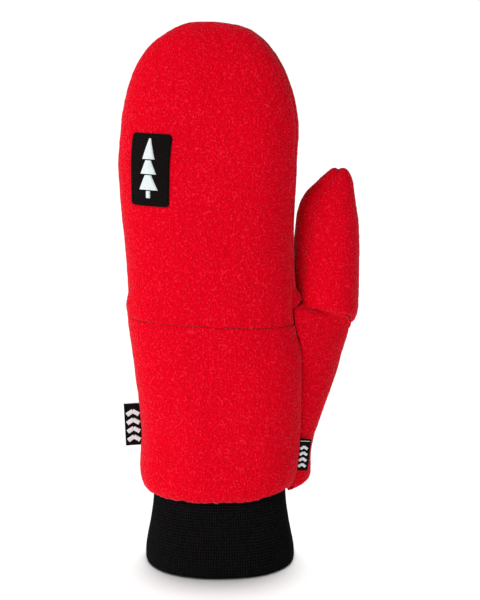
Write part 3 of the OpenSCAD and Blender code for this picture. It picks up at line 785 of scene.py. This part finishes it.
def finger_openings():
    rings = []
    for i, (name, x, top, depth) in enumerate(STUBS):
        stub("finger_stub_" + name, x, STUB_Y, STUB_HALF, depth, BASE_Z, top, 50 + i)
        rings.append(bound_edge(x, STUB_Y, STUB_HALF - STUB_WALL / 2, depth - STUB_WALL / 2, top + 0.9, 0.95))
    joined("finger_stub_bindings_sewn", rings, BINDING, "hand", "finger_stub_bindings")
    stub("thumb_stub", THUMB_X, THUMB_STUB_Y, *THUMB_STUB, 141.4, 151.9, 56)
    half_w, half_d = (half - STUB_WALL / 2 for half in THUMB_STUB)
    ring = bound_edge(THUMB_X, THUMB_STUB_Y, half_w, half_d, 152.6, 0.85)
    joined("thumb_stub_binding_sewn", [ring], BINDING, "hand", "thumb_stub_binding")


def inside(p, x, y, half_w, half_d):
    return ((p[:, 0] - x) / half_w)**2 + ((p[:, 1] - y) / half_d)**2 < 1


def yoke(name, node, outline, holes, z, seed):
    """A sheet of cloth with oval holes, from a triangulated outline. It dips a little between its edges."""
    pitch = 1.1
    flat, edges = [outline], []
    for x, y, w, d in holes:
        a = np.linspace(0, math.tau, int(math.tau * math.sqrt(w * d) / pitch), endpoint=False)
        flat.append(points(x + w * np.cos(a), y + d * np.sin(a)))
    for loop in flat:
        start = len(edges)
        edges += [(start + i, start + (i + 1) % len(loop)) for i in range(len(loop))]
    lo, hi = outline.min(0), outline.max(0)
    gx, gy = np.meshgrid(np.arange(lo[0], hi[0], pitch), np.arange(lo[1], hi[1], pitch))
    fill = points(gx, gy).reshape(-1, 2)
    for x, y, w, d in holes:
        fill = fill[~inside(fill, x, y, w + 0.6, d + 0.6)]
    spots = [Vector(q) for q in np.concatenate([*flat, fill])]
    verts, _, faces, *_ = delaunay_2d_cdt(spots, edges, [list(range(len(outline)))], 1, 1e-5)
    verts = np.array([tuple(v) for v in verts])
    middle = np.array([verts[list(f)].mean(0) for f in faces])
    keep = np.ones(len(faces), bool)
    for x, y, w, d in holes:
        keep &= ~inside(middle, x, y, w - 0.05, d - 0.05)
    faces = [f for f, kept in zip(faces, keep) if kept]
    used = sorted({i for f in faces for i in f})
    number = {old: new for new, old in enumerate(used)}
    verts = verts[used]
    faces = [[number[i] for i in f] for f in faces]
    p = points(*verts.T, z)
    p[:, 2] += noise(p, 7, seed) * 0.3
    count = len(p)
    directed = dict.fromkeys((f[i], f[(i + 1) % 3]) for f in faces for i in range(3))
    wall = [[b, a, a + count, b + count] for a, b in directed if (b, a) not in directed]
    solid = faces + [[i + count for i in f[::-1]] for f in faces] + wall
    o = joined(name, [(np.concatenate([p, p - [0, 0, 1.0]]), solid)], RED_LINING, "hand", node)


def yokes():
    a = np.linspace(0, math.tau, 180, endpoint=False)
    outline = points(YOKE_X + 40.0 * np.cos(a), STUB_Y + 19.1 * np.sin(a))
    holes = [(x, STUB_Y, STUB_HALF - STUB_WALL, depth - STUB_WALL) for _, x, _, depth in STUBS]
    yoke("knuckle_yoke_cloth", "knuckle_yoke", outline, holes, 139.2, 61)

    # The thumb's yoke fills the gusset there, and is pushed clear of the oval above
    s = np.linspace(0.04, 0.96, 90)
    edge = gusset_form(s, np.full(s.shape, 139.5))
    outline = edge[:, :2] - unit((edge - edge.mean(0))[:, :2]) * 3.4
    clear = 1.02
    x, y = outline[:, 0] - YOKE_X, outline[:, 1] - STUB_Y
    push = clear / np.sqrt(np.minimum((x / 40.6)**2 + (y / 19.7)**2, clear**2))
    outline = points(x * push + YOKE_X, y * push + STUB_Y)
    yoke("thumb_yoke_cloth", "thumb_yoke", outline,
         [(THUMB_X, THUMB_STUB_Y, THUMB_STUB[0] - STUB_WALL, THUMB_STUB[1] - STUB_WALL)], 140.9, 63)


# ---- linings and elastics

def lining(name, form, angles, rows, depth, seed, body, node, wrap=True):
    """A brushed lining inside a form, with small soft wrinkles."""
    p = inset(form(*np.meshgrid(angles, rows)), depth, wrap)
    n = grid_normals(p, wrap)
    outer = p + n * layered(p, seed, (16, 0.22), (5, 0.08))[..., None]
    wall = shell_mesh(outer, (outer - n * LINING)[::COARSE, ::COARSE], wrap)
    joined(name, [wall], RED_LINING, body, node)


def linings():
    depth = 4.9
    lining("hand_lining_knit", hand_form, np.linspace(46, 340, points_for(230, 1.2)),
           np.linspace(48.5, 117.5, points_for(69, 1.2)), depth, 71, "hand", "hand_lining", wrap=False)
    lining("hood_lining_knit", hood_form, np.linspace(0, 360, 176, endpoint=False),
           np.linspace(hood_row(152.5), 11.0, points_for(170, 1.3)), depth, 73, "hood", "hood_lining")
    lining("thumb_cap_lining_knit", cap_form, np.linspace(0, 360, 96, endpoint=False),
           np.linspace(cap_row(157.5), 8.2, points_for(62, 1.2)), 2.7, 75, "thumb_cap", "thumb_cap_lining")


def elastics():
    """Closed elastic bands with fine upright ribs."""
    a = even_angles(0, 360, 480, *CUFF_OVAL, wrap=True)
    for name, low, high, depth, rib, pitch, thickness, m, node in (
            ("cuff_rim_elastic_band", 1.2, 5.0, 2.9, 0.1, 1.3, 0.75, BLACK_ELASTIC, "cuff_rim_elastic"),
            ("wrist_elastic_band", 43.2, 46.8, -1.3, 0.12, 1.6, 0.7, BINDING, "wrist_elastic")):
        p = inset(cuff_form(*np.meshgrid(a, np.linspace(low, high, 9))), depth, True)
        n = grid_normals(p, True)
        outer = p + n * (rib * np.sin(math.tau * lengths_along(p, 1) / pitch))[..., None]
        joined(name, [shell_mesh(outer, outer - n * thickness, True)], m, "hand", node)


def line_inset(p, depth):
    """A line round a form, moved inwards by a depth in mm."""
    return p - grid_normals(np.stack([p, p + [0, 0, 1]]))[0] * depth


def edge_binding(name, path, half_w, half_h, body, node):
    """A folded binding along an open path."""
    out = np.cross(unit(np.gradient(path * [1, 1, 0], axis=0)), UP)
    rings = sweep(pinched(path, out, 2.4, 0.05), out, round_profile(half_w, half_h))
    joined(name, [capped(rings)], BINDING, body, node)


def bindings():
    a = np.linspace(GUSSET_REAR + 5, LITTLE_SEAM - 4, 160)
    p = line_inset(hand_form(a, np.full(a.shape, 144.4)), PALM_INSET + FLEECE / 2)
    edge_binding("palm_opening_binding_sewn", p, 1.3, 0.85, "hand", "palm_opening_binding")

    a = np.linspace(53, 176, 150)
    p = line_inset(hood_form(a, hood_row(hood_bottom(a) - 0.75)), FLEECE / 2 + 0.5)
    edge_binding("hood_hem_elastic_sewn", p, 1.05, 0.75, "hood", "hood_hem_elastic")

    a = np.linspace(-240, 66, 150)
    p = cap_form(a, cap_row(cap_hem(a) + 1.9))
    p -= unit((p - [48.0, THUMB_Y, 0]) * [1, 1, 0]) * 2.75
    edge_binding("thumb_cap_hem_elastic_sewn", p, 0.4, 1.0, "thumb_cap", "thumb_cap_hem_elastic")


# ---- seam threads

def inside_of(form, a, rows, depth):
    """A line inside a form at angle a, a given depth below its surface."""
    return inset(form(*np.meshgrid([a - 1.0, a, a + 1.0], rows)), depth)[:, 1]


def overlock(form, a, spread, rows, depth, turns):
    """A thread inside a form that zigzags across a seam at angle a, `spread` degrees to each side."""
    t = np.linspace(0, 1, turns * 4 + 1)
    side = np.abs((t * turns * 2) % 2 - 1)[:, None]
    left, right = (
        points(*(np.interp(t, np.linspace(0, 1, len(line)), line[:, k]) for k in range(3)))
        for line in (inside_of(form, a - spread, rows, depth), inside_of(form, a + spread, rows, depth)))
    return tube(left * side + right * (1 - side), 0.22, 5)


def seam_threads():
    sides, deep = (LITTLE_SEAM, THUMB_SEAM), FLEECE + 0.75
    for name, form, angles, spread, rows, depth, turns, body, node in (
            ("hand_seam_stitches", hand_form, sides, 1.1, np.linspace(46, 116, 60), deep, 26,
             "hand", "seam_threads"),
            ("hood_seam_stitches", hood_form, sides, 1.1, np.linspace(hood_row(149), 10.4, 90), deep, 60,
             "hood", "hood_seam_threads"),
            ("thumb_cap_seam_stitches", cap_form, (-118.0, CAP_REAR), 3.0,
             np.linspace(cap_row(149), cap_row(157), 12), 2.45, 4, "thumb_cap", "thumb_cap_seam_threads")):
        lines = [overlock(form, a, spread, rows, depth, turns) for a in angles]
        joined(name, lines, THREAD, body, node)


# ---- magnets

def pocket(name, node, magnet, body):
    """A sewn pouch that holds a magnet: two round cloths, domed over the disc and pressed at the edge."""
    lo, hi = (np.array(c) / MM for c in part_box(magnet))
    centre = (lo + hi) / 2
    yaw = math.radians(-17)
    side = np.array([math.cos(yaw), math.sin(yaw), 0.0])
    axis = np.array([side[1], -side[0], 0.0])
    radius = (0, 2.5, 4.6, 5.2, 5.6, 6.1, 6.6)
    half = (0.88, 0.88, 0.88, 0.8, 0.42, 0.3, 0.22)
    a = np.linspace(0, math.tau, 72, endpoint=False)
    rings = []
    for r, h in list(zip(radius, half))[1:] + list(zip(radius, [-v for v in half]))[:0:-1]:
        wavy = r * (1 + 0.012 * np.sin(a * 22) * (r > 5.3))
        ring = side * (wavy * np.cos(a))[:, None] + UP * (wavy * np.sin(a))[:, None]
        rings.append(centre + axis * h + ring)
    joined(name, [capped(np.array(rings))], RED_LINING, body, node)


# ---- embroidery

def satin(path, half_width, surface, height):
    """A satin-stitched bar along a (u, v) path on a surface, as wide as half_width says, with its threads
    running across it."""
    thread = 0.36
    path = np.asarray(path, float)
    s = lengths_along(path[:, None], 0)[:, 0]
    at = np.linspace(0, s[-1], max(8, int(s[-1] / (thread / 4))))
    line = points(*(np.interp(at, s, path[:, k]) for k in (0, 1)))
    half = np.interp(at, s, half_width)
    along = unit(np.gradient(line, axis=0))
    across = points(along[:, 1], -along[:, 0])
    k = np.linspace(-1, 1, 9)
    uv = line[:, None] + across[:, None] * (half[:, None] * k[None])[..., None]
    ends = np.minimum(at, s[-1] - at) / 0.3
    dome = np.sqrt(np.clip(1 - k**2, 0, 1))[None] ** 0.6 * np.sqrt(np.clip(ends, 0.02, 1))[:, None]
    ridge = 1 + 0.22 * np.sin(math.tau * at / thread)[:, None]
    top = surface(uv[..., 0], uv[..., 1], 0.02 + height * dome * ridge)
    under = surface(uv[..., 0], uv[..., 1], np.full(uv.shape[:2], -0.12))
    return shell_mesh(top, under)


# ---- labels

def label(name, node, root, root_high, out, reach, seed):
    """A woven ribbon folded in half: a front and a back layer that meet in a soft fold at the outer end. Its
    root runs from `root` to `root_high`, and it reaches along `out`. Returns its front face as a function."""
    root, up = np.array(root), np.array(root_high) - root
    length = np.linalg.norm(up)
    up, out = unit(up), unit(np.array(out))
    out = unit(out - up * (out @ up))
    face = np.cross(out, up)
    if face[1] > 0:
        face = -face
    half, layer = 0.55, 0.42

    def point_at(u, v, w):
        """The point u out and v up on the label, w in front of its middle."""
        point = root + out * u[..., None] + up * v[..., None]
        sway = noise(point, 8, seed) * 0.28 * (u / reach) + 0.25 * (u / reach)**2
        return point + face * (w + sway)[..., None]

    def side(offset):
        """The ribbon's middle line, moved by offset: along the front, round the fold and back."""
        bend = half + offset
        front = np.linspace(0, reach - half, 30)
        turn = np.radians(np.linspace(-90, 90, 13)[1:-1])
        u = np.concatenate([front, reach - half + bend * np.cos(turn), front[::-1]])
        w = np.concatenate([np.full(30, bend), -bend * np.sin(turn), np.full(30, -bend)])
        U, V = np.meshgrid(u, np.linspace(0, length, 61))
        return point_at(U, V, np.broadcast_to(w, U.shape))

    o = joined(name, [shell_mesh(side(layer / 2), side(-layer / 2))], LABEL, "hand", node, turn_out=True)
    return lambda u, v, off: point_at(u, v, half + layer / 2 + off)


def chevrons(name, node, surface, count, u0, half_u, v0, v1, half_width, reach):
    """Bold woven chevrons up a label, and the pale cut edge at its top."""
    bars = []
    pitch = (v1 - v0) / count
    for i in range(count):
        v = v0 + (i + 0.5) * pitch
        for s in (-1, 1):
            bars.append(satin([(u0 + s * half_u, v - 0.24 * pitch), (u0 - s * 0.12, v + 0.20 * pitch)],
                              [half_width, half_width], surface, height=0.2))
    top = v1 + 0.62 * (v1 - v0) / count
    bars.append(satin([(0.7, top), (reach - 0.7, top)], [0.16, 0.16], surface, height=0.12))
    joined(name, bars, WHITE, "hand", node, turn_out=True)


def labels():
    surface = label("side_label_ribbon", "side_label", (-54.6, -0.6, 66.9), (-55.4, -0.6, 91.2),
                    (-1.0, -0.06, 0.02), 9.6, 81)
    chevrons("side_label_weave_stitches", "side_label_weave", surface, 4, 4.9, 3.4, 1.6, 21.6, 1.25, 9.6)
    surface = label("thumb_side_label_ribbon", "thumb_side_label", (31.0, -9.3, 54.9), (32.9, -9.6, 72.9),
                    (1.0, 0.22, -0.02), 6.8, 83)
    chevrons("thumb_side_label_weave_stitches", "thumb_side_label_weave", surface, 4, 3.2, 2.1, 1.4, 15.2,
             0.8, 6.8)


# ---- patch

PATCH_W, PATCH_H, PATCH_R = 22.2, 37.6, 2.1
PATCH_Z = 223.3
PATCH_A = 233.9           # section angle of the patch's middle
PATCH_DEG_PER_MM = 1.49
PATCH_LEAN = math.radians(2.0)
PATCH_T = 1.0


def on_hood(u, v, off):
    """A point u across and v up from the patch's middle, off mm above the hood's fleece."""
    def form(u, v):
        x = u * math.cos(PATCH_LEAN) + v * math.sin(PATCH_LEAN)
        z = PATCH_Z + v * math.cos(PATCH_LEAN) - u * math.sin(PATCH_LEAN)
        return hood_form(PATCH_A + x * PATCH_DEG_PER_MM, hood_row(z))
    step = 0.2
    p = form(u, v)
    n = unit(np.cross(form(u + step, v) - p, form(u, v + step) - p))
    return p + n * (folds(p, FOLD_SEED) + off)[..., None]


def patch_surface(u, v, off):
    return on_hood(u, v, PATCH_T + off)


def patch():
    """The cloth with its sewn border, d mm inside its edge, then the black stitches and the fir tree."""
    s = np.linspace(-1, 1, points_for(PATCH_W, 0.28))
    v = np.linspace(-1, 1, points_for(PATCH_H, 0.28)) * PATCH_H / 2
    over = np.clip(np.abs(v) - (PATCH_H / 2 - PATCH_R), 0, PATCH_R)
    half = PATCH_W / 2 - PATCH_R + np.sqrt(PATCH_R**2 - over**2)
    S, V = np.meshgrid(s, v)
    U = S * half[:, None]
    qx, qy = np.abs(U) - (PATCH_W / 2 - PATCH_R), np.abs(V) - (PATCH_H / 2 - PATCH_R)
    d = PATCH_R - np.hypot(np.maximum(qx, 0), np.maximum(qy, 0)) - np.minimum(np.maximum(qx, qy), 0)
    border = smooth(d / 0.5) * (1 - smooth((d - 1.0) / 0.4)) * 0.14
    angle = np.arctan2(V / PATCH_H, U / PATCH_W)
    ridges = 0.025 * np.sin(angle * 170) * (border > 0.05)
    edge = np.sqrt(np.clip(d / 0.55, 0.0, 1))
    top = on_hood(U, V, -0.1 + (PATCH_T + 0.1) * edge + border + ridges)
    under = on_hood(U, V, np.full(U.shape, -0.35))[::COARSE, ::COARSE]
    o = joined("hood_patch_woven", [shell_mesh(top, under)], LABEL, "hood", "hood_patch")

    margin, pitch = 1.75, 1.45
    w, h = PATCH_W - 2 * margin, PATCH_H - 2 * margin
    bars = []

    def stitch(u, v, du, dv):
        k = np.linspace(-1, 1, 7)
        bars.append(tube(patch_surface(u + du * k, v + dv * k, 0.14 - 0.3 * k**4), 0.2, 6))

    across, up = int((w - 1.6) / pitch), int((h - 1.6) / pitch)
    for side in (-1, 1):
        for i in range(across):
            stitch((i - (across - 1) / 2) * pitch, side * h / 2, 0.46, 0)
        for i in range(up):
            stitch(side * w / 2, (i - (up - 1) / 2) * pitch, 0, 0.46)
    joined("patch_stitching_thread", bars, BLACK_THREAD, "hood", "patch_stitching", turn_out=True)

    mid, taper = 0.6, 0.34
    bars = [satin([(mid, low), (mid, high)], [half, tip], patch_surface, height=0.42)
            for low, high, half, tip in ((5.6, 16.2, 3.4, 0.5), (-2.0, 5.1, 4.4, 4.4 * taper),
                                         (-10.2, -2.5, 5.3, 5.3 * taper), (-14.4, -10.7, 1.2, 1.2))]
    joined("patch_emblem_stitches", bars, WHITE, "hood", "patch_emblem", turn_out=True)


# ---- knit cuff

def knit_cuff():
    """A doubled tube of fine rib knit: an outer layer that folds in at the rim and goes back up inside."""
    ribs, per_rib, course_h = 160, 4, 1.6
    layer, gap, low, high = 1.15, 0.25, 1.3, 48.0
    cols = ribs * per_rib
    a = even_angles(0, 360, cols, *CUFF_OVAL, wrap=True)
    phase = np.arange(cols) * math.tau / per_rib

    def tube_of(rows, depth):
        """Rings of the cuff from its rim up, at a depth below its outer face."""
        return inset(cuff_form(*np.meshgrid(a, np.linspace(low, high, rows))), depth, True)

    p = tube_of(121, 0.0)
    n = grid_normals(p, True)
    shift = 0.5 * noise(p, 6, 44)
    course = p[..., 2] / course_h * math.tau + shift
    hole = (np.clip(np.cos(phase) + 0.3, 0, 1.3)[None, :] * np.clip(np.cos(course) + 0.25, 0, 1.25)) / 1.6
    wide = layered(p, 41, (14, 0.35), (30, 0.35))
    relief = 0.16 * np.cos(phase + math.pi)[None, :] - 0.42 * hole + 0.05 * noise(p, 0.9, 43)
    outer = p + n * (relief + wide)[..., None]

    def bend(depth_from, depth_to, turns):
        """The fold at the rim, from one depth to another, half a turn round."""
        middle, radius = (depth_from + depth_to) / 2, (depth_to - depth_from) / 2
        rings = []
        for k in np.linspace(0, math.pi, turns)[1:-1]:
            ring = p[0] - n[0] * (middle - radius * math.cos(k) - wide[0])[:, None]
            ring[:, 2] = low - abs(radius) * math.sin(k)
            rings.append(ring)
        return np.array(rings)

    total = 2 * layer + gap
    parts = [outer[::-1], bend(0.0, total, 9), tube_of(8, total), tube_of(8, layer + gap)[::-1],
             bend(layer + gap, layer, 3), tube_of(8, layer)]
    o = joined("rib_cuff_knit", [looped(np.concatenate(parts))], KNIT, "hand", "rib_cuff", turn_out=True)
    # The holes' mask, from which the knit's material paints shade into the holes. The outer face comes first,
    # from its top down
    holes = np.zeros(len(o.data.vertices))
    holes[:hole.size] = hole[::-1].ravel()
    o.data.attributes.new("hole", "FLOAT", "POINT").data.foreach_set("value", holes)


# ---- stage, light, camera

def stage():
    bpy.ops.mesh.primitive_plane_add(size=8, location=(0, 0, 0))
    floor = bpy.context.object
    floor.name = "floor"
    white = bpy.data.materials.new("floor_white")
    t = Tree(white)
    t.put(t.nodes["Principled BSDF"], Base_Color=(0.80, 0.80, 0.80, 1), Roughness=0.9, Specular_IOR_Level=0.0)
    floor.data.materials.append(white)

    # The world looks white to the camera, and lights the mitten less than that
    world = bpy.data.worlds.new("studio")
    bpy.context.scene.world = world
    t = Tree(world)
    seen = t.put(t.nodes["Background"], Color=(1, 1, 1, 1), Strength=1.05)
    lit = t.add("Background", Color=(1, 1, 1, 1), Strength=0.26)
    mix = t.put(t.nodes.new("ShaderNodeMixShader"), Fac=t.add("LightPath", "Is Camera Ray"))
    t.links.new(lit, mix.inputs[1])
    t.links.new(seen.outputs[0], mix.inputs[2])
    t.put(t.nodes["World Output"], Surface=mix.outputs[0])

    def sun(name, towards, strength, angle, on_floor):
        """A lamp for the floor alone, or for all but the floor."""
        data = bpy.data.lights.new(name, "SUN")
        data.energy, data.angle = strength, math.radians(angle)
        o = in_scene(name, data)
        o.rotation_euler = Vector(towards).to_track_quat("-Z", "Y").to_euler()
        lit = bpy.data.collections.new("lit_by_" + name)
        lit.objects.link(floor)
        lit.collection_objects[0].light_linking.link_state = on_floor
        o.light_linking.receiver_collection = lit
        return o

    # Only the cuff stands in the way of the floor's own lamp, so the shadow stays close to it
    sun("key", (0.68, 0.63, -0.52), 2.3, 36, "EXCLUDE")
    lamp = sun("floor_lamp", (0.0, -0.40, -1.0), 3.9, 44, "INCLUDE")
    in_its_way = bpy.data.collections.new("shadow_on_floor")
    in_its_way.objects.link(bpy.data.objects["rib_cuff_knit"])
    lamp.light_linking.blocker_collection = in_its_way
    bpy.context.scene.view_settings.view_transform = "Standard"

    cam = bpy.data.cameras.new("camera")
    cam.lens, cam.sensor_width = 65.46, 36
    o = in_scene("camera", cam)
    bpy.context.scene.camera = o
    target, elevation, distance = Vector((0, 0, 0.150)), math.radians(12), 0.6
    o.location = target + Vector((0, -math.cos(elevation), math.sin(elevation))) * distance
    o.rotation_euler = (target - o.location).to_track_quat("-Z", "Y").to_euler()


back_of_hand()
palm_of_hand()
thumb_base()
hood()
thumb_cap()
finger_openings()
yokes()
linings()
elastics()
bindings()
seam_threads()
for body in ("hand", "hood"):
    magnet = body + "_magnet"
    pocket(magnet + "_pouch", magnet + "_pocket", magnet, body)
    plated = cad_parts[magnet].data.materials
    plated.clear()
    plated.append(PLATING)
labels()
patch()
knit_cuff()
stage()
